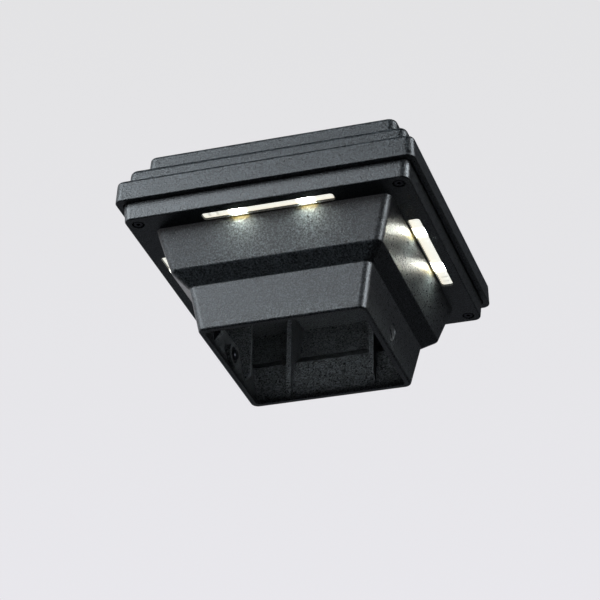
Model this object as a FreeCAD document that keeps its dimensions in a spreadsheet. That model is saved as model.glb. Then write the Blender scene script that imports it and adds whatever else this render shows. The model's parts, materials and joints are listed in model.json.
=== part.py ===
import FreeCAD, Part
import Sketcher
import math
import os
import re

# A square cap light with a stepped lid and four downward lens strips.
# Millimetres, +Z up. The origin is the centre of the collar's bottom rim; -Y is the front.

SIZES = {
    # Square socket, and the casting's outline as steps outward from it
    "socket_half": 38.1,
    "rim_offset": 6.0,
    "collar_taper": 4.4,
    "transition_step": 7.4,
    "flare_taper": 6.5,
    "band_ledge": 12.6,
    "band_draft": 0.8,
    "lid_overhang": 3.4,
    # Heights of the casting's stages, from the rim up
    "collar_height": 23.4,
    "transition_height": 6.9,
    "flare_height": 21.8,
    "band_height": 9.5,
    # Walls, corners and rounded edges of the base casting
    "band_wall": 3.1,
    "band_corner": 4.2,
    "band_edge_round": 0.7,
    "web_thickness": 3.0,
    "skirt_wall": 3.0,
    "skirt_corner": 4.0,
    "skirt_wall_rise": 1.2,
    "flare_foot_round": 1.6,
    "collar_round": 1.0,
    "rim_round": 1.2,
    # Stepped lid: its draft, insets, tier heights and wall
    "lid_draft": 0.5,
    "middle_inset": 4.5,
    "top_inset": 6.9,
    "lower_tier_height": 12.3,
    "middle_tier_height": 9.2,
    "top_tier_height": 11.2,
    "lid_wall": 2.8,
    "lid_corner": 4.4,
    "lid_edge_round": 2.0,
    "middle_edge_round": 3.0,
    "lid_step_round": 0.8,
    "lid_foot_round": 0.5,
    # Rebate under the lid, which fits over the top of the band
    "rebate_depth": 3.3,
    "rebate_gap": 0.45,
    "shoulder_width": 4.6,
    # Ribs that centre the section in the socket, and the seat that it stops against
    "rib_gap": 0.5,
    "rib_spread": 23.0,
    "rib_thickness": 2.6,
    "rib_start": 4.0,
    "rib_lead": 5.0,
    "seat_drop": 3.0,
    "seat_width": 4.0,
    "seat_inset": 0.6,
    "seat_corner": 2.0,
    # Set screws through the left and right sides of the collar
    "set_screw_height": 8.5,
    "set_screw_radius": 3.0,
    "set_screw_length": 6.0,
    "set_screw_key": 3.0,
    "set_screw_key_depth": 3.0,
    "set_screw_point": 0.8,
    "set_screw_edge": 0.4,
    "thread_gap": 0.06,
    "set_boss_radius": 6.2,
    "set_boss_gap": 1.6,
    "set_sink_radius": 4.2,
    # Lens strips
    "lens_edge_gap": 1.1,
    "lens_half_length": 34.7,
    "lens_half_width": 3.1,
    "lens_corner": 1.6,
    "lens_gap": 0.12,
    "lens_recess": 1.2,
    "lens_ledge": 1.5,
    "lens_flange": 1.0,
    "seal_thickness": 0.4,
    "seal_width": 0.7,
    # Light boards
    "board_screw_offset": 5.8,
    "board_end": 4.2,
    "board_half_width": 4.3,
    "board_corner": 1.0,
    "board_thickness": 1.6,
    "board_standoff": 1.3,
    "board_boss_radius": 3.1,
    "board_hole_floor": 1.2,
    "board_screw_radius": 1.2,
    "board_head_radius": 2.2,
    "board_head_height": 1.6,
    "board_key": 1.5,
    "board_key_depth": 0.9,
    "hole_spare": 0.3,
    "hole_gap": 0.2,
    "diode_pitch": 36.2,
    "diode_shift": 1.6,
    "diode_length": 3.5,
    "diode_width": 2.8,
    "diode_height": 0.7,
    "diode_corner": 0.25,
    # Screws that hold the lid, one near each corner
    "cover_screw_inset": 6.2,
    "cover_screw_radius": 1.7,
    "cover_head_radius": 3.0,
    "cover_head_height": 1.9,
    "cover_key": 2.0,
    "cover_key_depth": 1.1,
    "cover_boss_radius": 3.7,
    "cover_bore_gap": 0.3,
    "sink_radius": 3.3,
    "sink_depth": 2.6,
    "washer_thickness": 0.5,
    "washer_gap": 0.1,
    "tapped_roof": 1.9,
    "tapped_spare": 1.3,
    # Gasket between the lid and the base
    "gasket_thickness": 0.8,
    "gasket_inset": 0.6,
    "gasket_width": 2.2,
    # Driver board and its screws
    "driver_half_length": 30.0,
    "driver_half_width": 17.0,
    "driver_corner": 1.5,
    "driver_standoff": 6.0,
    "driver_screw_inset": 4.0,
    "driver_screw_radius": 1.5,
    "driver_screw_depth": 4.4,
    "driver_head_radius": 2.7,
    "driver_head_height": 1.9,
    "driver_key": 2.0,
    "driver_key_depth": 1.0,
    "driver_boss_radius": 3.2,
    # Components on the driver board: sizes, and places from the board's middle
    "capacitor_radius": 5.0,
    "capacitor_height": 12.5,
    "capacitor_neck": 0.3,
    "capacitor_edge": 0.6,
    "capacitor_x": 15.0,
    "capacitor_y": 6.0,
    "inductor_size": 10.0,
    "inductor_height": 5.2,
    "inductor_x": 1.0,
    "inductor_y": 7.0,
    "inductor_corner": 1.5,
    "rectifier_length": 8.2,
    "rectifier_width": 6.4,
    "rectifier_height": 2.6,
    "rectifier_x": -14.0,
    "rectifier_y": 5.0,
    "chip_length": 5.0,
    "chip_width": 4.0,
    "chip_height": 1.6,
    "chip_x": 4.0,
    "chip_y": -8.0,
    "package_corner": 0.3,
    "resistor_length": 3.2,
    "resistor_width": 1.6,
    "resistor_height": 0.8,
    "resistor_corner": 0.1,
    "resistor_x": 9.0,
    "resistor_y": -12.5,
    "resistor_pitch": 5.0,
    # Terminal block of the supply wires
    "terminal_x": -12.0,
    "terminal_y": -10.0,
    "terminal_length": 12.0,
    "terminal_depth": 9.0,
    "terminal_height": 10.0,
    "terminal_pitch": 5.0,
    "terminal_corner": 0.5,
    "terminal_hole_radius": 1.5,
    "terminal_hole_height": 3.5,
    "terminal_back_wall": 2.5,
    "terminal_screw_radius": 1.6,
    "terminal_screw_height": 3.0,
    "terminal_screw_sink": 0.5,
    "terminal_slot_half": 0.3,
    "terminal_slot_depth": 0.8,
    # Leads from the driver board to the light boards
    "lead_radius": 0.7,
    "lead_offset": 4.0,
    "lead_spacing": 3.6,
    "lead_rise": 8.5,
    "lead_arch": 2.5,
    "lead_bend": 3.0,
    "lead_pad_inset": 3.0,
    # Rubber grommet of the cable inlet in the web
    "inlet_offset": 9.5,
    "inlet_radius": 6.5,
    "grommet_gap": 0.1,
    "grommet_bore": 3.0,
    "grommet_flange": 1.5,
    "grommet_flange_height": 1.4,
    "grommet_edge": 0.5,
    # How far a cut passes the face that it starts from
    "overcut": 1.0,
}

# Heights, half widths and places that follow from the sizes above
DERIVED = {
    "rim_half": "socket_half + rim_offset",
    "collar_half": "rim_half + collar_taper",
    "flare_foot_half": "collar_half + transition_step",
    "flare_half": "flare_foot_half + flare_taper",
    "band_half": "flare_half + band_ledge",
    "band_top_half": "band_half + band_draft",
    "band_inner_half": "band_half - band_wall",
    "lid_half": "band_top_half + lid_overhang",
    "lower_top_half": "lid_half - lid_draft",
    "middle_half": "lower_top_half - middle_inset",
    "middle_top_half": "middle_half - lid_draft",
    "top_half": "middle_top_half - top_inset",
    "top_top_half": "top_half - lid_draft",
    "flare_foot_height": "collar_height + transition_height",
    "soffit_height": "flare_foot_height + flare_height",
    "web_top": "soffit_height + web_thickness",
    "web_middle": "soffit_height + web_thickness / 2",
    "joint_height": "soffit_height + band_height",
    "shoulder_height": "joint_height + rebate_depth",
    "band_top": "shoulder_height - gasket_thickness",
    "lower_top": "joint_height + lower_tier_height",
    "middle_top": "lower_top + middle_tier_height",
    "lid_top": "middle_top + top_tier_height",
    "rebate_half": "band_top_half + rebate_gap",
    "rib_half": "socket_half + rib_gap",
    "seat_half": "socket_half - seat_inset",
    "seat_height": "soffit_height - seat_drop",
    "set_boss_start": "socket_half + set_boss_gap",
    "collar_face": "rim_half + collar_taper * set_screw_height / collar_height",
    "lens_reach": "flare_half + lens_edge_gap + lens_half_width",
    "lens_seat": "soffit_height + lens_ledge",
    "board_screw_reach": "lens_half_length + board_screw_offset",
    "board_half_length": "board_screw_reach + board_end",
    "board_bottom": "web_top + board_standoff",
    "board_top": "board_bottom + board_thickness",
    "board_hole_bottom": "soffit_height + board_hole_floor",
    "board_screw_length": "board_top - board_hole_bottom - hole_spare",
    "cover_screw_reach": "band_half - cover_screw_inset",
    "sink_height": "soffit_height + sink_depth",
    "cover_screw_seat": "sink_height - washer_thickness",
    "tapped_top": "lower_top - tapped_roof",
    "cover_screw_length": "tapped_top - tapped_spare - cover_screw_seat",
    "washer_radius": "sink_radius - washer_gap",
    "driver_bottom": "web_top + driver_standoff",
    "driver_top": "driver_bottom + board_thickness",
    "driver_screw_x": "driver_half_length - driver_screw_inset",
    "driver_screw_y": "driver_half_width - driver_screw_inset",
    "driver_screw_length": "board_thickness + driver_screw_depth",
    "inlet_reach": "seat_half - seat_width - inlet_offset",
}

SIDES = ("front", "right", "back", "left")
CORNER_SIGNS = ((-1, -1), (1, -1), (1, 1), (-1, 1))
UP = FreeCAD.Vector(0, 0, 1)

document = FreeCAD.newDocument("CapLight")
sheet = document.addObject("Spreadsheet::Sheet", "Sizes")


def fill_sheet():
    """Write the driving sizes and the sizes that follow from them, each with its alias."""
    row = 0
    for name, number in SIZES.items():
        row += 1
        sheet.set(f"A{row}", name)
        sheet.set(f"B{row}", str(number))
        sheet.setAlias(f"B{row}", name)
    for name, formula in DERIVED.items():
        row += 1
        sheet.set(f"A{row}", name)
        sheet.set(f"B{row}", "=" + formula)
        sheet.setAlias(f"B{row}", name)
    document.recompute()


def cell(formula):
    """Put the sheet's name before each size in a formula."""
    def qualify(word):
        name = word.group()
        return "Sizes." + name if name in SIZES or name in DERIVED else name
    return re.sub(r"[a-z][a-z_]*", qualify, formula)


def number(formula):
    """The present value of a formula of sizes."""
    return float(sheet.evalExpression(cell(formula)))


def bind(thing, **formulas):
    """Bind properties to formulas; a double underscore stands for a dot."""
    for name, formula in formulas.items():
        thing.setExpression(name.replace("__", "."), cell(formula))


def place(thing, x="0", y="0", z="0", turn=None):
    """Bind an object's position to formulas, after an optional rotation."""
    if turn is not None:
        thing.Placement = FreeCAD.Placement(FreeCAD.Vector(), turn)
    bind(thing, Placement__Base__x=x, Placement__Base__y=y, Placement__Base__z=z)


def new_body(label):
    """An empty body; several separate solids may share it."""
    body = document.addObject("PartDesign::Body", label)
    body.Label = label
    body.AllowCompound = True
    return body


def sketch_on(body, plane, name, height="0"):
    """A sketch on one of the body's own planes, moved along the plane's normal."""
    sketch = body.newObject("Sketcher::SketchObject", name)
    support = [item for item in body.Origin.OriginFeatures if item.Role == plane][0]
    sketch.AttachmentSupport = [(support, "")]
    sketch.MapMode = "FlatFace"
    bind(sketch, AttachmentOffset__Base__z=height)
    return sketch


def fix_point(sketch, element, point, axis, formula):
    """Hold one coordinate of a point at a formula's value, measured from the origin."""
    if formula == "0":
        line = -2 if axis == "X" else -1
        sketch.addConstraint(Sketcher.Constraint("PointOnObject", element, point, line))
        return
    held = Sketcher.Constraint("Distance" + axis, -1, 1, element, point, number(formula))
    index = sketch.addConstraint(held)
    sketch.setExpression(f"Constraints[{index}]", cell(formula))


def draw_round_rectangle(sketch, half_x, half_y, radius, x="0", y="0"):
    """Add a rectangle with round corners, centred at x, y."""
    cx, cy = number(x), number(y)
    hx, hy, r = number(half_x), number(half_y), number(radius)
    lines, arcs = [], []
    for (sx, sy), (ex, ey) in zip(CORNER_SIGNS, CORNER_SIGNS[1:] + CORNER_SIGNS[:1]):
        along_x, along_y = (ex - sx) / 2, (ey - sy) / 2
        start = FreeCAD.Vector(cx + sx * hx + along_x * r, cy + sy * hy + along_y * r, 0)
        end = FreeCAD.Vector(cx + ex * hx - along_x * r, cy + ey * hy - along_y * r, 0)
        lines.append(sketch.addGeometry(Part.LineSegment(start, end)))
    for corner, (sx, sy) in enumerate(CORNER_SIGNS[1:] + CORNER_SIGNS[:1]):
        middle = FreeCAD.Vector(cx + sx * (hx - r), cy + sy * (hy - r), 0)
        first = math.radians(corner * 90 - 90)
        arc = Part.ArcOfCircle(Part.Circle(middle, UP, r), first, first + math.pi / 2)
        arcs.append(sketch.addGeometry(arc))
    for index in range(4):
        following = lines[(index + 1) % 4]
        sketch.addConstraint(Sketcher.Constraint("Tangent", lines[index], 2, arcs[index], 1))
        sketch.addConstraint(Sketcher.Constraint("Tangent", arcs[index], 2, following, 1))
        straight = "Horizontal" if index % 2 == 0 else "Vertical"
        sketch.addConstraint(Sketcher.Constraint(straight, lines[index]))
    for arc in arcs[1:]:
        sketch.addConstraint(Sketcher.Constraint("Equal", arcs[0], arc))
    index = sketch.addConstraint(Sketcher.Constraint("Radius", arcs[0], r))
    sketch.setExpression(f"Constraints[{index}]", cell(radius))
    fix_point(sketch, lines[0], 1, "Y", f"({y}) - ({half_y})")
    fix_point(sketch, lines[1], 1, "X", f"({x}) + ({half_x})")
    fix_point(sketch, lines[2], 1, "Y", f"({y}) + ({half_y})")
    fix_point(sketch, lines[3], 1, "X", f"({x}) - ({half_x})")


def draw_circle(sketch, radius, x="0", y="0"):
    """Add a circle, centred at x, y."""
    middle = FreeCAD.Vector(number(x), number(y), 0)
    circle = sketch.addGeometry(Part.Circle(middle, UP, number(radius)))
    index = sketch.addConstraint(Sketcher.Constraint("Radius", circle, number(radius)))
    sketch.setExpression(f"Constraints[{index}]", cell(radius))
    fix_point(sketch, circle, 3, "X", x)
    fix_point(sketch, circle, 3, "Y", y)


def draw_polygon(sketch, points):
    """Add a closed outline whose corners are pairs of formulas."""
    spots = [FreeCAD.Vector(number(x), number(y), 0) for x, y in points]
    for start, end in zip(spots, spots[1:] + spots[:1]):
        sketch.addGeometry(Part.LineSegment(start, end))
    for index, (x, y) in enumerate(points):
        before = (index - 1) % len(points)
        sketch.addConstraint(Sketcher.Constraint("Coincident", before, 2, index, 1))
        fix_point(sketch, index, 1, "X", x)
        fix_point(sketch, index, 1, "Y", y)


def loft(body, name, sections, cut=False):
    """Join round-cornered squares, given as (height, half width, corner radius)."""
    sketches = []
    for index, (height, half, radius) in enumerate(sections):
        sketch = sketch_on(body, "XY_Plane", f"{name}_section_{index}", height)
        draw_round_rectangle(sketch, half, half, radius)
        sketches.append(sketch)
    kind = "PartDesign::SubtractiveLoft" if cut else "PartDesign::AdditiveLoft"
    feature = body.newObject(kind, name)
    feature.Profile = sketches[0]
    feature.Sections = sketches[1:]
    feature.Ruled = True
    document.recompute()
    return feature


def extrude(body, name, sketch, length, cut=False, both_ways=False):
    """Pad a sketch along its normal, or pocket it the same way."""
    feature = body.newObject("PartDesign::Pocket" if cut else "PartDesign::Pad", name)
    feature.Profile = sketch
    feature.Reversed = cut
    bind(feature, Length=length)
    if both_ways:
        feature.SideType = "Symmetric"
    document.recompute()
    return feature


def slab(body, name, bottom, top, outlines=(), circles=(), cut=False):
    """A level slab; an outline is (half_x, half_y, radius, x, y), a circle (radius, x, y)."""
    sketch = sketch_on(body, "XY_Plane", name + "_outline", bottom)
    for outline in outlines:
        draw_round_rectangle(sketch, *outline)
    for circle in circles:
        draw_circle(sketch, *circle)
    return extrude(body, name, sketch, f"({top}) - ({bottom})", cut)


def cylinder(body, name, radius, length, x, y, z, turn, cut=False):
    """A round boss or hole along a turned axis."""
    kind = "PartDesign::SubtractiveCylinder" if cut else "PartDesign::AdditiveCylinder"
    feature = body.newObject(kind, name)
    bind(feature, Radius=radius, Height=length)
    place(feature, x, y, z, turn)
    document.recompute()


def repeat_round(body, name, features):
    """Repeat features on the four sides, about the vertical axis."""
    pattern = body.newObject("PartDesign::PolarPattern", name)
    axis = [item for item in body.Origin.OriginFeatures if item.Role == "Z_Axis"][0]
    pattern.Originals = features
    pattern.Axis = (axis, [""])
    pattern.Angle = 360
    pattern.Occurrences = len(SIDES)
    body.Tip = pattern
    document.recompute()


def round_level_edges(body, name, radius, height, half, corner):
    """Round the outer edge loop that lies at a height and at a half width."""
    level, reach = number(height), number(half) - 0.35 * number(corner)
    base = body.Tip
    shape = base.Shape
    chosen = []
    for index, edge in enumerate(shape.Edges):
        box = edge.BoundBox
        flat = abs(box.ZMin - level) < 0.01 and abs(box.ZMax - level) < 0.01
        middle = edge.valueAt((edge.FirstParameter + edge.LastParameter) / 2)
        width = max(abs(middle.x), abs(middle.y))
        if flat and reach < width < number(half) + 0.1:
            chosen.append(f"Edge{index + 1}")
    feature = body.newObject("PartDesign::Fillet", name)
    feature.Base = (base, chosen)
    bind(feature, Radius=radius)
    document.recompute()
    return feature


def revolve(body, name, points):
    """Turn a profile of (radius, height) corners about the vertical axis."""
    sketch = sketch_on(body, "XZ_Plane", name + "_profile")
    draw_polygon(sketch, points)
    feature = body.newObject("PartDesign::Revolution", name)
    feature.Profile = sketch
    feature.ReferenceAxis = (sketch, ["V_Axis"])
    feature.Angle = 360
    document.recompute()
    return feature


def key_socket(body, name, key, depth, top):
    """A hexagonal socket, sunk from the top of a screw that stands on the axis."""
    sketch = sketch_on(body, "XY_Plane", name + "_outline", f"{top} - {depth}")
    tip = f"{key} / sqrt(3)"
    slope = f"{key} / sqrt(12)"
    flat = f"{key} / 2"
    draw_polygon(sketch, (
        (tip, "0"),
        (slope, flat),
        (f"-({slope})", flat),
        (f"-({tip})", "0"),
        (f"-({slope})", f"-({flat})"),
        (slope, f"-({flat})"),
    ))
    extrude(body, name, sketch, f"{depth} + overcut", cut=True)


def copies(label, source, spots, turn=None):
    """One node that holds a separate copy of a piece at each (x, y, z)."""
    links = []
    for index, (x, y, z) in enumerate(spots):
        link = document.addObject("App::Link", f"{label}_{index + 1}")
        link.LinkedObject = source
        place(link, x, y, z, turn)
        links.append(link)
    group = document.addObject("Part::Compound", label)
    group.Label = label
    group.Links = links
    document.recompute()
    return group


def side_turn(side):
    """The rotation that takes a piece from the front to one of the four sides."""
    return FreeCAD.Rotation(UP, 90 * SIDES.index(side))


def corners(x, y):
    """The four corners of a rectangle about the axis, as (x, y) formulas."""
    return [(f"{sx} * {x}", f"{sy} * {y}") for sx, sy in CORNER_SIGNS]


def around(x, y):
    """A spot near the front and the same spot on the other three sides, as (x, y) formulas."""
    return [(x, y), (f"-({y})", x), (f"-({x})", f"-({y})"), (y, f"-({x})")]


def at_height(spots, z):
    """Add a height to (x, y) formulas."""
    return [(x, y, z) for x, y in spots]


def rounds(radius, spots):
    """Circles of one radius at (x, y) formulas."""
    return [(radius, x, y) for x, y in spots]


TO_X = FreeCAD.Rotation(FreeCAD.Vector(0, 1, 0), 90)
TO_MINUS_X = FreeCAD.Rotation(FreeCAD.Vector(0, 1, 0), -90)
UPSIDE_DOWN = FreeCAD.Rotation(FreeCAD.Vector(1, 0, 0), 180)
SET_SIDES = (("right", "1", TO_X), ("left", "-1", TO_MINUS_X))


def make_top_cover():
    """Hollow stepped lid with a rebate for the band and four tapped bosses."""
    body = new_body("top_cover")
    corner = "lid_corner"
    loft(body, "lower_tier", (
        ("joint_height", "lid_half", corner),
        ("lower_top", "lower_top_half", corner),
    ))
    loft(body, "middle_tier", (
        ("lower_top", "middle_half", corner),
        ("middle_top", "middle_top_half", corner),
    ))
    loft(body, "top_tier", (
        ("middle_top", "top_half", corner),
        ("lid_top", "top_top_half", corner),
    ))
    round_level_edges(body, "top_round", "lid_edge_round", "lid_top", "top_top_half", corner)
    round_level_edges(body, "top_step", "lid_step_round", "middle_top", "top_half", corner)
    round_level_edges(body, "middle_round", "middle_edge_round", "middle_top", "middle_top_half", corner)
    round_level_edges(body, "middle_step", "lid_step_round", "lower_top", "middle_half", corner)
    round_level_edges(body, "lower_round", "lid_edge_round", "lower_top", "lower_top_half", corner)
    round_level_edges(body, "foot_round", "lid_foot_round", "joint_height", "lid_half", corner)
    hollow_lid(body)
    spots = corners("cover_screw_reach", "cover_screw_reach")
    bosses = rounds("cover_boss_radius", spots)
    slab(body, "screw_bosses", "band_top", "lower_top - lid_wall / 2", circles=bosses)
    tapped = rounds("cover_screw_radius + thread_gap", spots)
    slab(body, "tapped_holes", "band_top - overcut", "tapped_top", circles=tapped, cut=True)
    return body


def hollow_lid(body):
    """Cut the rebate and a stepped cavity that leaves the wall under each tier."""
    rebate = ("rebate_half", "rebate_half", "band_corner + rebate_gap")
    slab(body, "rebate", "joint_height - overcut", "shoulder_height", [rebate], cut=True)
    lower = "rebate_half - shoulder_width"
    middle = "middle_top_half - lid_wall"
    upper = "top_top_half - lid_wall"
    inner = "lid_corner - lid_wall / 2"
    levels = (
        ("lower_cavity", lower, "shoulder_height - overcut", "lower_top - lid_wall"),
        ("middle_cavity", middle, "lower_top - lid_wall - overcut", "middle_top - lid_wall"),
        ("top_cavity", upper, "middle_top - lid_wall - overcut", "lid_top - lid_wall"),
    )
    for name, half, bottom, top in levels:
        slab(body, name, bottom, top, [(half, half, inner)], cut=True)


def make_base_housing():
    """Base casting: band, web, flare and collar, with everything that is cast or cut in it."""
    body = new_body("base_housing")
    loft(body, "band", (
        ("soffit_height", "band_half", "band_corner"),
        ("band_top", "band_top_half", "band_corner"),
    ))
    loft(body, "skirt", (
        ("0", "rim_half", "skirt_corner"),
        ("collar_height", "collar_half", "skirt_corner"),
        ("flare_foot_height", "flare_foot_half", "skirt_corner"),
        ("soffit_height", "flare_half", "skirt_corner"),
    ))
    round_level_edges(body, "soffit_round", "band_edge_round", "soffit_height", "band_half", "band_corner")
    round_level_edges(
        body, "flare_round", "flare_foot_round", "flare_foot_height", "flare_foot_half", "skirt_corner")
    round_level_edges(
        body, "collar_round_edge", "collar_round", "collar_height", "collar_half", "skirt_corner")
    round_level_edges(body, "rim_round_edge", "rim_round", "0", "rim_half", "skirt_corner")
    band_inner = ("band_inner_half", "band_inner_half", "band_corner - band_wall / 3")
    slab(body, "band_cavity", "web_top", "band_top + overcut", [band_inner], cut=True)
    inner = "skirt_corner - skirt_wall / 2"
    loft(body, "socket_cavity", (
        ("0", "rim_half - skirt_wall", inner),
        ("collar_height + skirt_wall_rise", "collar_half - skirt_wall", inner),
        ("flare_foot_height + skirt_wall_rise", "flare_foot_half - skirt_wall", inner),
        ("soffit_height", "flare_half - skirt_wall", inner),
    ), cut=True)
    add_socket_fittings(body)
    cut_lens_windows(body)
    add_inner_bosses(body)
    cut_corner_screw_holes(body)
    inlet = [("inlet_radius", "0", "-inlet_reach")]
    slab(body, "cable_inlet", "soffit_height - overcut", "web_top + overcut", circles=inlet, cut=True)
    return body


def add_socket_fittings(body):
    """Centring ribs, the seat under the web and the set screw bosses with their holes."""
    half_wall = "skirt_wall / 2"
    half_rise = "skirt_wall_rise / 2"
    outline = (
        (f"rim_half - {half_wall}", "rib_start"),
        (f"collar_half - {half_wall}", f"collar_height + {half_rise}"),
        (f"flare_foot_half - {half_wall}", f"flare_foot_height + {half_rise}"),
        (f"flare_half - {half_wall}", "soffit_height"),
        (f"flare_half - {half_wall}", "web_middle"),
        ("rib_half", "web_middle"),
        ("rib_half", "rib_start + rib_lead"),
    )
    ribs = []
    for name, spread in (("near_rib", "rib_spread"), ("far_rib", "-rib_spread")):
        sketch = sketch_on(body, "XZ_Plane", name + "_outline", spread)
        draw_polygon(sketch, outline)
        ribs.append(extrude(body, name, sketch, "rib_thickness", both_ways=True))
    repeat_round(body, "ribs", ribs)
    inner = "seat_half - seat_width"
    seat = [("seat_half", "seat_half", "seat_corner"), (inner, inner, "seat_corner / 2")]
    slab(body, "seat", "seat_height", "web_middle", seat)
    boss_length = "rim_half - skirt_wall / 4 - set_boss_start"
    for side, sign, turn in SET_SIDES:
        cylinder(
            body, side + "_set_boss", "set_boss_radius", boss_length,
            f"{sign} * set_boss_start", "0", "set_screw_height", turn,
        )
        cylinder(
            body, side + "_set_hole", "set_screw_radius + thread_gap", "collar_half - socket_half",
            f"{sign} * socket_half", "0", "set_screw_height", turn, cut=True,
        )
        cut_set_sink(body, side + "_set_sink", sign, turn)


def cut_set_sink(body, name, sign, turn):
    """Countersink round the mouth of a set screw's hole, in the tapered face of the collar."""
    sink = body.newObject("PartDesign::SubtractiveCone", name)
    depth = "set_sink_radius - set_screw_radius"
    bind(sink, Radius1="set_screw_radius", Radius2="set_sink_radius + overcut")
    bind(sink, Height=f"{depth} + overcut")
    place(sink, f"{sign} * (collar_face - ({depth}))", "0", "set_screw_height", turn)
    document.recompute()


def cut_lens_windows(body):
    """A slot through the web on each side, with a wider recess above for the lens's flange."""
    windows, recesses = [], []
    for index, (x, y) in enumerate(around("0", "-lens_reach")):
        halves = ["lens_half_length", "lens_half_width"]
        if index % 2:
            halves.reverse()
        windows.append((halves[0], halves[1], "lens_corner", x, y))
        wider = [half + " + lens_flange" for half in halves]
        recesses.append((wider[0], wider[1], "lens_corner + lens_flange / 2", x, y))
    slab(body, "lens_windows", "soffit_height - overcut", "web_top + overcut", windows, cut=True)
    slab(body, "lens_recesses", "lens_seat", "web_top + overcut", recesses, cut=True)


def board_screw_spots():
    """Where the screws of the four light boards stand, as (x, y) formulas."""
    near = around("board_screw_reach", "-lens_reach")
    far = around("-board_screw_reach", "-lens_reach")
    return near + far


def add_inner_bosses(body):
    """Standoffs for the light boards and the driver board, and a boss for each lid screw."""
    spots = board_screw_spots()
    standoffs = rounds("board_boss_radius", spots)
    slab(body, "board_standoffs", "web_middle", "board_bottom", circles=standoffs)
    holes = rounds("board_screw_radius + thread_gap", spots)
    slab(body, "board_holes", "board_hole_bottom", "board_bottom + overcut", circles=holes, cut=True)
    spots = corners("driver_screw_x", "driver_screw_y")
    standoffs = rounds("driver_boss_radius", spots)
    slab(body, "driver_standoffs", "web_middle", "driver_bottom", circles=standoffs)
    holes = rounds("driver_screw_radius + thread_gap", spots)
    bottom = "driver_bottom - driver_screw_depth - hole_spare"
    slab(body, "driver_holes", bottom, "driver_bottom + overcut", circles=holes, cut=True)
    bosses = rounds("cover_boss_radius", corners("cover_screw_reach", "cover_screw_reach"))
    slab(body, "corner_bosses", "web_middle", "band_top", circles=bosses)


def cut_corner_screw_holes(body):
    """Through holes for the lid's screws, sunk from below for the heads."""
    spots = corners("cover_screw_reach", "cover_screw_reach")
    bottom = "soffit_height - overcut"
    bores = rounds("cover_screw_radius + cover_bore_gap", spots)
    slab(body, "cover_bores", bottom, "band_top + overcut", circles=bores, cut=True)
    sinks = rounds("sink_radius", spots)
    slab(body, "cover_sinks", bottom, "sink_height", circles=sinks, cut=True)


def make_gasket():
    """Flat ring that is pressed between the top of the band and the lid's shoulder."""
    body = new_body("cover_gasket")
    outer = "band_top_half - gasket_inset"
    inner = "band_top_half - gasket_inset - gasket_width"
    ring = [(outer, outer, "band_corner - gasket_inset"), (inner, inner, "band_corner - gasket_width")]
    slab(body, "ring", "band_top", "shoulder_height", ring)
    return body


def make_screw(name, head_radius, head_height, radius, length, key, key_depth):
    """A screw that hangs down from its head's seat at the origin."""
    body = new_body(name)
    revolve(body, "turned", (
        ("0", f"-({length})"),
        (f"{radius} * 0.7", f"-({length})"),
        (radius, f"{radius} * 0.6 - ({length})"),
        (radius, "0"),
        (head_radius, "0"),
        (head_radius, f"{head_height} * 0.6"),
        (f"{head_radius} - {head_height} * 0.4", head_height),
        ("0", head_height),
    ))
    key_socket(body, "drive", key, key_depth, head_height)
    return body


def make_cover_screws():
    """The four lid screws, with a sealing washer above each head."""
    screw = make_screw(
        "cover_screw", "cover_head_radius", "cover_head_height", "cover_screw_radius",
        "cover_screw_length", "cover_key", "cover_key_depth")
    spots = at_height(corners("cover_screw_reach", "cover_screw_reach"), "cover_screw_seat")
    screws = copies("cover_screws", screw, spots, UPSIDE_DOWN)
    washer = new_body("cover_washer")
    circles = [("washer_radius",), ("cover_screw_radius + thread_gap",)]
    slab(washer, "ring", "0", "washer_thickness", circles=circles)
    washers = copies("cover_screw_washers", washer, spots)
    return [screws, washers]


def make_lens(side):
    """Clear bar that fills its window, with a flange that rests on the seal."""
    body = new_body("lens_" + side)
    bar = (
        "lens_half_length - lens_gap", "lens_half_width - lens_gap", "lens_corner - lens_gap",
        "0", "-lens_reach",
    )
    flange = (
        "lens_half_length + lens_flange - lens_gap", "lens_half_width + lens_flange - lens_gap",
        "lens_corner + lens_flange / 2", "0", "-lens_reach",
    )
    slab(body, "bar", "soffit_height + lens_recess", "web_top", [bar])
    slab(body, "flange", "lens_seat + seal_thickness", "web_top", [flange])
    place(body, turn=side_turn(side))
    return body


def make_lens_seal(side):
    """Soft ring between the lens's flange and the ledge of its window."""
    body = new_body("lens_seal_" + side)
    outlines = []
    for width in ("0", "seal_width"):
        outlines.append((
            f"lens_half_length + lens_flange - lens_gap - {width}",
            f"lens_half_width + lens_flange - lens_gap - {width}",
            f"lens_corner + lens_flange / 2 - {width} / 2", "0", "-lens_reach",
        ))
    slab(body, "ring", "lens_seat", "lens_seat + seal_thickness", outlines)
    place(body, turn=side_turn(side))
    return body


def make_light_board(side):
    """Board strip that lies on two standoffs above its lens."""
    body = new_body("light_board_" + side)
    strip = ("board_half_length", "board_half_width", "board_corner", "0", "-lens_reach")
    spots = [("-board_screw_reach", "-lens_reach"), ("board_screw_reach", "-lens_reach")]
    holes = rounds("board_screw_radius + hole_gap", spots)
    slab(body, "strip", "board_bottom", "board_top", [strip], holes)
    place(body, turn=side_turn(side))
    return body


def make_diodes(side):
    """The two light-emitting diodes under one board, as separate solids."""
    body = new_body("diodes_" + side)
    size = ("diode_length / 2", "diode_width / 2", "diode_corner")
    # The boards on the right and left lie the other way round; each has its pads at one end.
    shift = "diode_shift" if side in ("front", "back") else "-diode_shift"
    left = size + (f"{shift} - diode_pitch / 2", "-lens_reach")
    right = size + (f"{shift} + diode_pitch / 2", "-lens_reach")
    slab(body, "packages", "board_bottom - diode_height", "board_bottom", [left, right])
    place(body, turn=side_turn(side))
    return body


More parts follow.
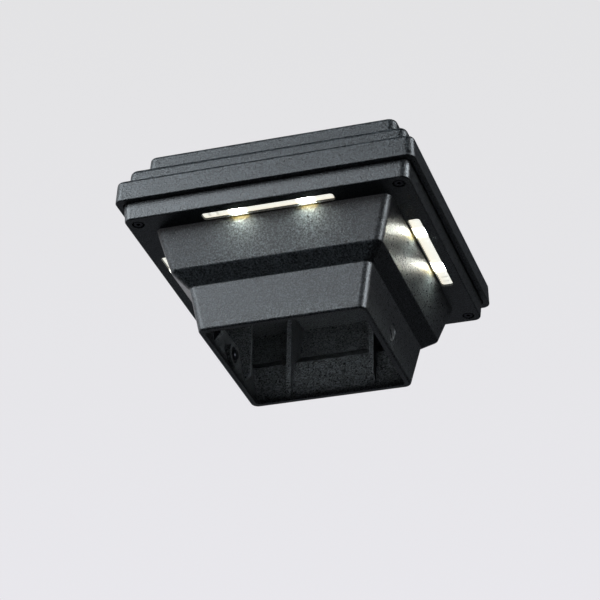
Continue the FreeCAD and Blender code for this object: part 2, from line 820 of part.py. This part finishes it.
def make_board_screws():
    """Two screws for each light board."""
    screw = make_screw(
        "board_screw", "board_head_radius", "board_head_height", "board_screw_radius",
        "board_screw_length", "board_key", "board_key_depth")
    return copies("board_screws", screw, at_height(board_screw_spots(), "board_top"))


def make_driver():
    """Driver board with its screws and components."""
    board = new_body("driver_board")
    outline = ("driver_half_length", "driver_half_width", "driver_corner")
    spots = corners("driver_screw_x", "driver_screw_y")
    holes = rounds("driver_screw_radius + hole_gap", spots)
    slab(board, "plate", "driver_bottom", "driver_top", [outline], holes)
    screw = make_screw(
        "driver_screw", "driver_head_radius", "driver_head_height", "driver_screw_radius",
        "driver_screw_length", "driver_key", "driver_key_depth")
    screws = copies("driver_screws", screw, at_height(spots, "driver_top"))
    return [board, screws] + make_components() + make_terminal()


def make_components():
    """What is soldered on the driver board."""
    capacitor = new_body("capacitor")
    neck = "capacitor_radius - capacitor_neck"
    revolve(capacitor, "can", (
        ("0", "0"),
        (neck, "0"),
        (neck, "2 * capacitor_edge"),
        ("capacitor_radius", "3 * capacitor_edge"),
        ("capacitor_radius", "capacitor_height - capacitor_edge"),
        ("capacitor_radius - capacitor_edge", "capacitor_height"),
        ("0", "capacitor_height"),
    ))
    place(capacitor, "capacitor_x", "capacitor_y", "driver_top")
    made = [capacitor]
    blocks = (
        ("inductor", ("inductor_size", "inductor_size", "inductor_height"), "inductor_corner"),
        ("rectifier", ("rectifier_length", "rectifier_width", "rectifier_height"), "package_corner"),
        ("chip", ("chip_length", "chip_width", "chip_height"), "package_corner"),
    )
    for name, (length, width, height), corner in blocks:
        body = new_body("driver_chip" if name == "chip" else name)
        slab(body, "block", "0", height, [(f"{length} / 2", f"{width} / 2", corner)])
        place(body, name + "_x", name + "_y", "driver_top")
        made.append(body)
    resistor = new_body("resistor")
    outline = ("resistor_length / 2", "resistor_width / 2", "resistor_corner")
    slab(resistor, "block", "0", "resistor_height", [outline])
    spots = []
    for step in (-1, 0, 1):
        spots.append((f"resistor_x + {step} * resistor_pitch", "resistor_y", "driver_top"))
    made.append(copies("resistors", resistor, spots))
    return made


def make_terminal():
    """Two-pole terminal block for the supply wires, with its clamping screws."""
    block = new_body("terminal_block")
    outline = ("terminal_length / 2", "terminal_depth / 2", "terminal_corner")
    slab(block, "block", "0", "terminal_height", [outline])
    to_back = FreeCAD.Rotation(FreeCAD.Vector(1, 0, 0), -90)
    screw_foot = "terminal_height - terminal_screw_height - terminal_screw_sink"
    spots = []
    for name, sign in (("left", "-1"), ("right", "1")):
        x = f"{sign} * terminal_pitch / 2"
        cylinder(
            block, name + "_entry", "terminal_hole_radius",
            "terminal_depth - terminal_back_wall + overcut",
            x, "-terminal_depth / 2 - overcut", "terminal_hole_height", to_back, cut=True,
        )
        well = [("terminal_screw_radius + thread_gap", x, "0")]
        slab(block, name + "_well", screw_foot, "terminal_height + overcut", circles=well, cut=True)
        spots.append((f"terminal_x + {x}", "terminal_y", f"driver_top + {screw_foot}"))
    place(block, "terminal_x", "terminal_y", "driver_top")
    screw = new_body("terminal_screw")
    slab(screw, "disc", "0", "terminal_screw_height", circles=[("terminal_screw_radius",)])
    slot = ("terminal_screw_radius + overcut", "terminal_slot_half", "terminal_slot_half / 2")
    slab(
        screw, "slot", "terminal_screw_height - terminal_slot_depth",
        "terminal_screw_height + overcut", [slot], cut=True)
    return [block, copies("terminal_screws", screw, spots)]


def round_path(points, bend):
    """A wire through points, its corners replaced by tangent arcs."""
    edges = []
    start = points[0]
    for before, corner, after in zip(points, points[1:], points[2:]):
        back = (before - corner).normalize()
        onward = (after - corner).normalize()
        half_turn = (math.pi - back.getAngle(onward)) / 2
        setback = bend * math.tan(half_turn)
        first = corner + back * setback
        last = corner + onward * setback
        centre = corner + (back + onward).normalize() * (bend / math.cos(half_turn))
        middle = centre + (corner - centre).normalize() * bend
        edges.append(Part.LineSegment(start, first).toShape())
        edges.append(Part.Arc(first, middle, last).toShape())
        start = last
    edges.append(Part.LineSegment(start, points[-1]).toShape())
    return Part.Wire(edges)


def lead_shape(side, offset):
    """One insulated lead, from the driver board's pad up, outward and down to a light board."""
    short_sides = ("front", "back")
    edge = "driver_half_width" if side in short_sides else "driver_half_length"
    inner = number(f"{edge} - lead_pad_inset")
    outer = number("lens_reach")
    top = number("driver_top + lead_rise")
    points = [
        FreeCAD.Vector(offset, -inner, number("driver_top")),
        FreeCAD.Vector(offset, -inner, top),
        FreeCAD.Vector(offset, -(inner + outer) / 2, top + number("lead_arch")),
        FreeCAD.Vector(offset, -outer, top - number("lead_arch")),
        FreeCAD.Vector(offset, -outer, number("board_top")),
    ]
    path = round_path(points, number("lead_bend"))
    circle = Part.Circle(points[0], UP, number("lead_radius"))
    section = Part.Wire([circle.toShape()])
    solid = path.makePipeShell([section], True, True)
    return solid.rotated(FreeCAD.Vector(), UP, 90 * SIDES.index(side))


def make_leads(label, offset):
    """The four leads of one polarity, as separate solids."""
    feature = document.addObject("Part::Feature", label)
    feature.Label = label
    feature.Shape = Part.Compound([lead_shape(side, number(offset)) for side in SIDES])
    feature.Placement = FreeCAD.Placement()
    return feature


def make_grommet():
    """Rubber grommet that snaps round the edge of the inlet in the web."""
    body = new_body("cable_grommet")
    hub = "inlet_radius - grommet_gap"
    lip = "inlet_radius + grommet_flange"
    top = "web_thickness + grommet_flange_height"
    revolve(body, "ring", (
        ("grommet_bore", "-grommet_flange_height"),
        (f"{lip} - grommet_edge", "-grommet_flange_height"),
        (lip, "grommet_edge - grommet_flange_height"),
        (lip, "0"),
        (hub, "0"),
        (hub, "web_thickness"),
        (lip, "web_thickness"),
        (lip, f"{top} - grommet_edge"),
        (f"{lip} - grommet_edge", top),
        ("grommet_bore", top),
    ))
    place(body, "0", "-inlet_reach", "soffit_height")
    return body


def make_set_screw(side, sign, turn):
    """Socket set screw, stored with its tip at the face of the square socket."""
    body = new_body("set_screw_" + side)
    radius = "set_screw_radius"
    length = "set_screw_length"
    revolve(body, "turned", (
        ("0", "0"),
        (f"{radius} - set_screw_point", "0"),
        (radius, "set_screw_point"),
        (radius, f"{length} - set_screw_edge"),
        (f"{radius} - set_screw_edge", length),
        ("0", length),
    ))
    key_socket(body, "drive", "set_screw_key", "set_screw_key_depth", length)
    place(body, f"{sign} * socket_half", "0", "set_screw_height", turn)
    return body


def check_document():
    """Stop if any object of the document failed."""
    for thing in document.Objects:
        bad = [state for state in thing.State if state in ("Invalid", "Error")]
        if bad:
            raise RuntimeError(f"{thing.Name} failed: {bad}")


def export(nodes):
    """Check each piece's shape and write it to its own file."""
    os.makedirs("parts", exist_ok=True)
    for node in nodes:
        shape = node.Shape
        if shape.isNull() or not shape.isValid() or not shape.Solids:
            raise RuntimeError(node.Label + " has no valid shape")
        shape.exportStep(f"parts/{node.Label}.step")
        print(f"{node.Label}: {len(shape.Solids)} solids, {shape.Volume:.1f} mm3")


fill_sheet()
nodes = [make_top_cover(), make_base_housing(), make_gasket()]
nodes += make_cover_screws()
for side in SIDES:
    nodes += [make_lens(side), make_lens_seal(side), make_light_board(side), make_diodes(side)]
nodes.append(make_board_screws())
nodes += make_driver()
nodes.append(make_leads("positive_leads", "lead_offset"))
nodes.append(make_leads("negative_leads", "lead_offset + lead_spacing"))
nodes.append(make_grommet())
for side, sign, turn in SET_SIDES:
    nodes.append(make_set_screw(side, sign, turn))
document.recompute()
check_document()
export(nodes)
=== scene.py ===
import json
import math

import bpy
from mathutils import Matrix, Vector


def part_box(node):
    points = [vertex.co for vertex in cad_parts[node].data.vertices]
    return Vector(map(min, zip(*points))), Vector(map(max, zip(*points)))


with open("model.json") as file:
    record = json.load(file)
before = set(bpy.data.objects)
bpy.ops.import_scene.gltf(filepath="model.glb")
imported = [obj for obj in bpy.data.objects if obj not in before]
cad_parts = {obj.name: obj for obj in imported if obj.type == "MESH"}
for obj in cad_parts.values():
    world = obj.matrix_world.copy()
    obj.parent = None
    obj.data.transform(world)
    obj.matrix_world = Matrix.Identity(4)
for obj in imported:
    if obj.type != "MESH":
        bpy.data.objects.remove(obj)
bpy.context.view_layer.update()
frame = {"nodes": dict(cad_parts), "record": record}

MM = 0.001
UP = Vector((0, 0, 1))
# The lamps and cards hang around this point, about half-way up the part.
MIDDLE = Vector((0, 0, 45 * MM))
# Each side of the part, with the direction from it towards the middle.
SIDES = (("front", (0, 1, 0)), ("right", (-1, 0, 0)), ("back", (0, -1, 0)), ("left", (1, 0, 0)))

# The two diodes of a side: half their distance, and how far the pair is off the middle.
DIODE_LENGTH = 3.5 * MM
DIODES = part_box("diodes_front")
DIODE_REACH = (DIODES[1].x - DIODES[0].x - DIODE_LENGTH) / 2
DIODE_SHIFT = (DIODES[0].x + DIODES[1].x) / 2

# A lens: how far its middle line is from the part's axis, and how deep it sits in the soffit.
LENS_REACH = -(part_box("lens_front")[0].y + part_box("lens_front")[1].y) / 2
LENS_RECESS = 1.2 * MM
# A light board's two solder pads: how far they are from the middle of the strip, and their size.
PAD_PLACES = (26.9 * MM, 31.2 * MM)
PAD_HALF_WIDTH = 0.55 * MM
PAD_HALF_LENGTH = 1.9 * MM

# The cover screws' axes and the two set-screw holes in the collar.
SCREW_HEAD_RADIUS = 3.0 * MM
SCREW_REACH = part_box("cover_screws")[1].x - SCREW_HEAD_RADIUS
HOLE_HEIGHT = (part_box("set_screw_right")[0].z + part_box("set_screw_right")[1].z) / 2
HOLE_RADIUS = 4.4 * MM

DAYLIGHT = "#edf7fe"
BACKDROP_LOW = "#e9e8ed"
BACKDROP_HIGH = "#e2e2e3"
DARK_FELT = "#202022"


# ---------------------------------------------------------------- materials

def tone(code):
    """A linear colour from an sRGB hex value."""
    steps = [int(code[i:i + 2], 16) / 255 for i in (1, 3, 5)]
    linear = [c / 12.92 if c <= 0.04045 else ((c + 0.055) / 1.055) ** 2.4 for c in steps]
    return (*linear, 1.0)


def add_node(tree, kind, settings=None, **inputs):
    """Add a node with its settings and inputs.

    An input goes by its name, or by its number as i0, i1 and so on. Its value is a plain value,
    a node, which gives its first output, or a pair of a node and an output.
    """
    node = tree.nodes.new(kind)
    for name, value in (settings or {}).items():
        setattr(node, name, value)
    for name, value in inputs.items():
        numbered = name[0] == "i" and name[1:].isdigit()
        socket = node.inputs[int(name[1:]) if numbered else name.replace("_", " ")]
        if isinstance(value, bpy.types.Node):
            value = (value, 0)
        if isinstance(value, tuple) and isinstance(value[0], bpy.types.Node):
            tree.links.new(value[0].outputs[value[1]], socket)
        else:
            socket.default_value = value
    return node


def new_material(name):
    """An empty node material and its output."""
    material = bpy.data.materials.new(name)
    material.use_nodes = True
    tree = material.node_tree
    tree.nodes.clear()
    return material, tree, tree.nodes.new("ShaderNodeOutputMaterial")


def per_metre(size_mm):
    """The scale of a pattern whose features are this many millimetres across.

    The patterns lie on Object coordinates, which are metres in the part.
    """
    return 1000 / size_mm


def powder_coat():
    """Black polyester powder coat with a fine texture on die-cast aluminium.

    The cured powder leaves a satin skin of small uneven bumps that catch the light one by one.
    """
    material, tree, out = new_material("black_powder_coat")
    at = (add_node(tree, "ShaderNodeTexCoord"), "Object")
    # The real grit is about 0.4 mm; it is drawn 0.9 mm across so that it shows.
    grit_mm, cloud_mm, bump_mm = 0.9, 9, 0.17
    grit = add_node(tree, "ShaderNodeTexNoise", Vector=at, Scale=per_metre(grit_mm),
                    Detail=3.0, Roughness=0.7)
    cloud = add_node(tree, "ShaderNodeTexNoise", Vector=at, Scale=per_metre(cloud_mm), Detail=3.0)
    skin = add_node(tree, "ShaderNodeValToRGB", Fac=grit)
    for stop, (position, colour) in zip(skin.color_ramp.elements,
                                        ((0.44, "#111315"), (0.65, "#565b5e"))):
        stop.position = position
        stop.color = tone(colour)
    patches = add_node(tree, "ShaderNodeMapRange", Value=cloud, From_Min=0.3, From_Max=0.7,
                       To_Min=0.85, To_Max=1.0)
    dust = add_node(tree, "ShaderNodeMix", {"data_type": "RGBA", "blend_type": "MULTIPLY"},
                    i0=1.0, i6=skin, i7=patches)
    satin = add_node(tree, "ShaderNodeMapRange", Value=grit, From_Min=0.3, From_Max=0.7,
                     To_Min=0.24, To_Max=0.42)
    # Painted shade: the walls of the two set-screw holes are painted near black, for the shade
    # inside them, and are made rougher so they keep no glint.
    painted_hole_shade, hole_shade_roughness = tone("#08080a"), 0.85
    aside = add_node(tree, "ShaderNodeVectorMath", {"operation": "SUBTRACT"},
                     i0=at, i1=(0, 0, HOLE_HEIGHT))
    flat = add_node(tree, "ShaderNodeVectorMath", {"operation": "MULTIPLY"},
                    i0=aside, i1=(0, 1, 1))
    reach = add_node(tree, "ShaderNodeVectorMath", {"operation": "LENGTH"}, i0=flat)
    hole_shade_mask = add_node(tree, "ShaderNodeMath", {"operation": "LESS_THAN"},
                       i0=(reach, 1), i1=HOLE_RADIUS)
    hole_shade_rough = add_node(tree, "ShaderNodeMath", {"operation": "MULTIPLY"},
                    i0=hole_shade_mask, i1=hole_shade_roughness)
    rough = add_node(tree, "ShaderNodeMath", {"operation": "MAXIMUM"}, i0=satin, i1=hole_shade_rough)
    # Inside the holes the colour is the near-black painted shade.
    colour = add_node(tree, "ShaderNodeMix", {"data_type": "RGBA"},
                      i0=hole_shade_mask, i6=(dust, 2), i7=painted_hole_shade)
    bumps = add_node(tree, "ShaderNodeBump", Height=grit, Strength=1.0, Distance=bump_mm * MM)
    paint = add_node(tree, "ShaderNodeBsdfPrincipled", Base_Color=(colour, 2), Roughness=rough,
                     Normal=bumps, IOR=1.5)
    tree.links.new(paint.outputs[0], out.inputs[0])
    return material


def black_oxide_steel():
    """Turned steel with a black oxide finish: dark, oily-looking, with a soft ring on the head."""
    material, tree, out = new_material("black_oxide_steel")
    at = (add_node(tree, "ShaderNodeTexCoord"), "Object")
    # The lathe's feed is about 0.1 mm a turn. The rings are drawn much coarser, 3.14 mm apart,
    # which leaves one on the head. A wave of scale 1 has its rings 2 pi / 20 metres apart.
    ring_mm, unit_wave, stain_mm, bump_mm = math.pi, 2 * math.pi / 20, 1.2, 0.03
    corner = add_node(tree, "ShaderNodeVectorMath", {"operation": "ABSOLUTE"}, i0=at)
    from_axis = add_node(tree, "ShaderNodeVectorMath", {"operation": "SUBTRACT"},
                         i0=corner, i1=(SCREW_REACH, SCREW_REACH, 0))
    flat = add_node(tree, "ShaderNodeVectorMath", {"operation": "MULTIPLY"},
                    i0=from_axis, i1=(1, 1, 0))
    rings = add_node(tree, "ShaderNodeTexWave",
                     {"wave_type": "RINGS", "rings_direction": "SPHERICAL"},
                     Vector=flat, Scale=per_metre(ring_mm) * unit_wave, Distortion=0.4)
    stain = add_node(tree, "ShaderNodeTexNoise", Vector=at, Scale=per_metre(stain_mm), Detail=3.0)
    rough = add_node(tree, "ShaderNodeMapRange", Value=stain, To_Min=0.3, To_Max=0.55)
    marks = add_node(tree, "ShaderNodeBump", Height=(rings, 1), Strength=0.3,
                     Distance=bump_mm * MM)
    steel = add_node(tree, "ShaderNodeBsdfPrincipled", Base_Color=tone("#3c3c40"), Metallic=1.0,
                     Roughness=rough, Normal=marks)
    tree.links.new(steel.outputs[0], out.inputs[0])
    return material


def plain(name, colour, roughness, metallic=0.0, grain_mm=1.0):
    """A moulded, cast or turned surface with a faint grain of its own."""
    material, tree, out = new_material(name)
    at = (add_node(tree, "ShaderNodeTexCoord"), "Object")
    spread, bump_mm = 0.06, 0.02
    grain = add_node(tree, "ShaderNodeTexNoise", Vector=at, Scale=per_metre(grain_mm), Detail=2.0)
    rough = add_node(tree, "ShaderNodeMapRange", Value=grain,
                     To_Min=roughness - spread, To_Max=roughness + spread)
    relief = add_node(tree, "ShaderNodeBump", Height=grain, Strength=0.25, Distance=bump_mm * MM)
    surface = add_node(tree, "ShaderNodeBsdfPrincipled", Base_Color=tone(colour),
                       Metallic=metallic, Roughness=rough, Normal=relief)
    tree.links.new(surface.outputs[0], out.inputs[0])
    return material


def lit_lens():
    """Clear moulded polycarbonate, lit from above by two diodes, so its face is almost white."""
    material, tree, out = new_material("lit_polycarbonate")
    hot_spot, strip, hot_reach = 36.0, 0.93, 5.5 * MM
    pad_shade = 0.6
    warm_edge, cool_edge = LENS_REACH - 3.3 * MM, LENS_REACH + 0.5 * MM
    place = (add_node(tree, "ShaderNodeTexCoord"), "Object")
    at = add_node(tree, "ShaderNodeSeparateXYZ", Vector=place)
    wide = add_node(tree, "ShaderNodeMath", {"operation": "ABSOLUTE"}, i0=(at, 0))
    deep = add_node(tree, "ShaderNodeMath", {"operation": "ABSOLUTE"}, i0=(at, 1))
    across = add_node(tree, "ShaderNodeMath", {"operation": "MAXIMUM"}, i0=wide, i1=deep)
    along = add_node(tree, "ShaderNodeMath", {"operation": "MINIMUM"}, i0=wide, i1=deep)
    # The distance along each strip is positive towards the end that has the solder pads.
    quarter = add_node(tree, "ShaderNodeMath", {"operation": "MULTIPLY"}, i0=(at, 0), i1=(at, 1))
    way = add_node(tree, "ShaderNodeMath", {"operation": "SIGN"}, i0=quarter)
    run = add_node(tree, "ShaderNodeMath", {"operation": "MULTIPLY"}, i0=along, i1=way)
    # The strip is brightest under its two diodes.
    shifted = add_node(tree, "ShaderNodeMath", {"operation": "ADD"}, i0=run, i1=DIODE_SHIFT)
    from_pair = add_node(tree, "ShaderNodeMath", {"operation": "ABSOLUTE"}, i0=shifted)
    off = add_node(tree, "ShaderNodeMath", {"operation": "SUBTRACT"},
                   i0=from_pair, i1=DIODE_REACH)
    near = add_node(tree, "ShaderNodeMath", {"operation": "ABSOLUTE"}, i0=off)
    glow = add_node(tree, "ShaderNodeMapRange", {"interpolation_type": "SMOOTHERSTEP"},
                    Value=near, From_Min=0.0, From_Max=hot_reach, To_Min=hot_spot, To_Max=strip)
    # The pads show through as two grey dashes.
    pads = [add_node(tree, "ShaderNodeMath", {"operation": "COMPARE"},
                     i0=run, i1=place, i2=PAD_HALF_WIDTH) for place in PAD_PLACES]
    either = add_node(tree, "ShaderNodeMath", {"operation": "MAXIMUM"}, i0=pads[0], i1=pads[1])
    inside = add_node(tree, "ShaderNodeMath", {"operation": "COMPARE"},
                      i0=across, i1=LENS_REACH, i2=PAD_HALF_LENGTH)
    dash = add_node(tree, "ShaderNodeMath", {"operation": "MULTIPLY"}, i0=either, i1=inside)
    dimmed = add_node(tree, "ShaderNodeMapRange", Value=dash, To_Min=1.0, To_Max=pad_shade)
    shine = add_node(tree, "ShaderNodeMath", {"operation": "MULTIPLY"}, i0=glow, i1=dimmed)
    # The light that leaves towards the flare has crossed more of the phosphor and is warmer.
    edge = add_node(tree, "ShaderNodeMapRange", Value=across,
                    From_Min=warm_edge, From_Max=cool_edge)
    colour = add_node(tree, "ShaderNodeMix", {"data_type": "RGBA"}, i0=edge,
                      i6=tone("#fff8e4"), i7=tone("#fcfcf2"))
    lens = add_node(tree, "ShaderNodeBsdfPrincipled", Base_Color=tone("#f4f1e4"), Roughness=0.25,
                    IOR=1.58, Emission_Color=(colour, 2), Emission_Strength=shine)
    tree.links.new(lens.outputs[0], out.inputs[0])
    return material


# ---------------------------------------------------------------- camera

def look():
    """The photograph's view: from below, a little to the right of the front."""
    right = Vector((0.951554, 0.307019, 0.016863))
    up = Vector((0.139019, -0.478488, 0.867019))
    back = Vector((0.27426, -0.82267, -0.49799))
    place = Vector((0.3315, -1.0041, -0.5721))
    camera = bpy.data.objects.new("camera", bpy.data.cameras.new("camera"))
    turn = Matrix((right, up, back)).transposed().to_4x4()
    camera.matrix_world = Matrix.Translation(place) @ turn
    camera.data.lens = 140.41
    camera.data.sensor_width = 36
    camera.data.shift_x = -0.00326
    camera.data.shift_y = -0.00033
    camera.data.clip_start = 0.05
    camera.data.clip_end = 50
    bpy.context.scene.collection.objects.link(camera)
    bpy.context.scene.camera = camera


# ---------------------------------------------------------------- studio

def add_lamp(name, place, target, power, colour="#ffffff", **settings):
    """An area lamp that points at a spot."""
    lamp = bpy.data.objects.new(name, bpy.data.lights.new(name, "AREA"))
    for key, value in settings.items():
        setattr(lamp.data, key, value)
    lamp.data.energy = power
    lamp.data.color = tone(colour)[:3]
    lamp.location = place
    lamp.rotation_euler = (Vector(target) - Vector(place)).to_track_quat("-Z", "Y").to_euler()
    bpy.context.scene.collection.objects.link(lamp)
    return lamp


def around(azimuth, elevation, distance):
    """A place seen from the part; azimuth 0 is in front of it and 90 to its right."""
    turn, rise = math.radians(azimuth), math.radians(elevation)
    flat = math.cos(rise) * distance
    step = Vector((math.sin(turn) * flat, -math.cos(turn) * flat, math.sin(rise) * distance))
    return step + MIDDLE


def light_studio():
    """A large soft key at the front left, two strips on the right for the gloss of the corners,
    a soft top light and a weak lamp that shows the ribs in the socket."""
    add_lamp("key", around(-43, 22, 1.7), MIDDLE, 37, DAYLIGHT,
             shape="RECTANGLE", size=1.3, size_y=1.0)
    high = add_lamp("high_strip", around(86, 25, 1.4), MIDDLE, 20, DAYLIGHT,
                    shape="RECTANGLE", size=0.7, size_y=0.6)
    low = add_lamp("low_strip", around(74, -1, 1.4), MIDDLE, 14, DAYLIGHT,
                   shape="RECTANGLE", size=0.5, size_y=0.55)
    high.visible_diffuse = low.visible_diffuse = False
    top = add_lamp("top_light", MIDDLE + Vector((0.2, 0.3, 1.5)), MIDDLE, 10,
                   shape="RECTANGLE", size=1.4, size_y=1.4)
    below = add_lamp("socket_light", (0, 0, 2 * MM), MIDDLE, 0.05, shape="SQUARE", size=0.06)
    top.visible_glossy = below.visible_glossy = below.visible_camera = False


def paint_backdrop():
    """A pale backdrop for what is seen or mirrored, and a weak fill for the rest."""
    world = bpy.data.worlds.new("studio")
    bpy.context.scene.world = world
    world.use_nodes = True
    tree = world.node_tree
    tree.nodes.clear()
    ray = add_node(tree, "ShaderNodeTexCoord")
    height = add_node(tree, "ShaderNodeSeparateXYZ", Vector=(ray, "Generated"))
    rise = add_node(tree, "ShaderNodeMapRange", Value=(height, 2), From_Min=0.35, From_Max=0.65)
    sky = add_node(tree, "ShaderNodeMix", {"data_type": "RGBA"}, i0=rise,
                   i6=tone(BACKDROP_LOW), i7=tone(BACKDROP_HIGH))
    backdrop = add_node(tree, "ShaderNodeBackground", Color=(sky, 2), Strength=1.0)
    fill = add_node(tree, "ShaderNodeBackground", Color=tone("#e8ebf0"), Strength=0.3)
    mixed = add_node(tree, "ShaderNodeMixShader", i0=seen_or_mirrored(tree), i1=fill, i2=backdrop)
    out = tree.nodes.new("ShaderNodeOutputWorld")
    tree.links.new(mixed.outputs[0], out.inputs[0])


def seen_or_mirrored(tree):
    """1 for a ray from the camera, off a glossy surface or through glass, and 0 for others."""
    rays = add_node(tree, "ShaderNodeLightPath")
    mirrored = add_node(tree, "ShaderNodeMath", {"operation": "MAXIMUM"},
                        i0=(rays, "Is Glossy Ray"), i1=(rays, "Is Transmission Ray"))
    return add_node(tree, "ShaderNodeMath", {"operation": "MAXIMUM"},
                    i0=(rays, "Is Camera Ray"), i1=mirrored)


def add_sheet(name, width, height):
    """A flat rectangle around its own origin."""
    w, h = width / 2, height / 2
    mesh = bpy.data.meshes.new(name)
    mesh.from_pydata([(-w, -h, 0), (w, -h, 0), (w, h, 0), (-w, h, 0)], [], [(0, 1, 2, 3)])
    sheet = bpy.data.objects.new(name, mesh)
    bpy.context.scene.collection.objects.link(sheet)
    return sheet


def hang_card(name, middle, facing, width, height, colour):
    """A matt card out of the camera's sight, which the gloss of the darker faces mirrors."""
    card = add_sheet(name, width, height)
    card.location = middle
    card.rotation_euler = (Vector(facing) - Vector(middle)).to_track_quat("Z", "Y").to_euler()
    card.visible_camera = False
    card.visible_shadow = False
    material, tree, out = new_material(name + "_felt")
    matt = add_node(tree, "ShaderNodeBsdfDiffuse", Color=tone(colour))
    tree.links.new(matt.outputs[0], out.inputs[0])
    card.data.materials.append(material)


def lay_floor():
    """A pale floor well below the part, which is seen from underneath."""
    width, level = 24.0, -1.2
    pale_share, pale_strength = 0.9, 0.93
    floor = add_sheet("floor", width, width)
    floor.location = (0, 0, level)
    material, tree, out = new_material("pale_floor")
    matt = add_node(tree, "ShaderNodeBsdfDiffuse", Color=tone("#8c8c90"))
    pale = add_node(tree, "ShaderNodeEmission", Color=tone(BACKDROP_LOW), Strength=pale_strength)
    seen = add_node(tree, "ShaderNodeMath", {"operation": "MULTIPLY"},
                    i0=seen_or_mirrored(tree), i1=pale_share)
    mixed = add_node(tree, "ShaderNodeMixShader", i0=seen, i1=matt, i2=pale)
    tree.links.new(mixed.outputs[0], out.inputs[0])
    floor.data.materials.append(material)


def hang_cards():
    """Dark cards, as for any black object on a pale ground, so that its unlit faces stay black.

    The last one is grey: the soffit mirrors it and so shows against the darker flare.
    """
    hang_card("card_behind", (0.48, 0.98, 0.5), MIDDLE, 1.3, 1.2, "#3a3a3e")
    hang_card("card_behind_low", (0.1, 1.15, -0.08), MIDDLE, 2.6, 0.75, "#4a4a4e")
    hang_card("card_in_front", around(24, 14, 1.25), MIDDLE, 0.75, 0.9, DARK_FELT)
    hang_card("card_above", (0, -0.1, 1.3), (0, -0.1, 0), 3.2, 3.2, DARK_FELT)
    hang_card("card_below", (0.1, 0.2, -0.46), (0.1, 0.2, 1), 3.0, 3.4, "#262628")
    hang_card("grey_card_below", (-0.38, 0.82, -0.45), (-0.38, 0.82, 1), 1.15, 0.9, "#c8c8cc")


def light_diodes():
    """Two small lamps at each diode: the cool core of its beam, just under the diode, and the
    warm rim of the beam, at the edge of the lens next to the flare."""
    core_power, core_size, core_gap, core_lean, core_spread = 0.015, 2.4 * MM, 0.3 * MM, 0.4, 2.3
    rim_power, rim_width, rim_height = 0.0006, 8 * MM, 1 * MM
    rim_drop, rim_inset = 0.7 * MM, 2.0 * MM
    for side, towards_middle in SIDES:
        low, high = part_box("diodes_" + side)
        middle = (low + high) / 2
        inward = Vector(towards_middle)
        along = inward.cross(UP)
        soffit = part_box("lens_" + side)[0].z - LENS_RECESS
        for name, sign in (("a", -1), ("b", 1)):
            spot = Vector((middle.x, middle.y, low.z - core_gap)) + along * (sign * DIODE_REACH)
            core = add_lamp(f"diode_{side}_{name}", spot, spot + inward * core_lean - UP,
                            core_power, "#f0faef",
                            shape="DISK", size=core_size, spread=core_spread)
            rim_spot = Vector((spot.x, spot.y, soffit - rim_drop)) + inward * rim_inset
            rim = add_lamp(f"diode_rim_{side}_{name}", rim_spot, rim_spot + inward,
                           rim_power, "#ffe27c",
                           shape="RECTANGLE", size=rim_width, size_y=rim_height)
            core.visible_camera = rim.visible_camera = False
        frame["nodes"]["lens_" + side].visible_shadow = False


# ---------------------------------------------------------------- finishes of the CAD nodes

def finish_nodes():
    """Give each node of the part its material."""
    finishes = {
        "black_coat": powder_coat(),
        "black_steel": black_oxide_steel(),
        "lens": lit_lens(),
        "diode": plain("phosphor_over_white_package", "#f2dc8c", 0.4),
        "light_board": plain("white_solder_mask", "#e6e6e0", 0.35),
        "circuit_board": plain("green_solder_mask", "#1f5a34", 0.35),
        "steel": plain("stainless_steel", "#a8a8a6", 0.35, metallic=1.0, grain_mm=0.4),
        "rubber": plain("moulded_rubber", "#1b1b1c", 0.75),
        "capacitor_sleeve": plain("shrunk_sleeve", "#1d2438", 0.35),
        "ferrite": plain("pressed_ferrite", "#3c3a38", 0.6),
        "dark_plastic": plain("moulded_epoxy", "#1e1e20", 0.5),
        "green_plastic": plain("moulded_polyamide", "#2f7d48", 0.45),
        "red_insulation": plain("red_wire_insulation", "#a3201c", 0.45),
        "black_insulation": plain("black_wire_insulation", "#1a1a1c", 0.45),
    }
    slots = {item["node"]: item["material_slot"] for item in frame["record"]["subparts"]}
    for name, node in frame["nodes"].items():
        node.data.materials.clear()
        node.data.materials.append(finishes[slots[name]])


look()
finish_nodes()
light_studio()
paint_backdrop()
light_diodes()
lay_floor()
hang_cards()

bpy.context.scene.view_settings.view_transform = "Standard"
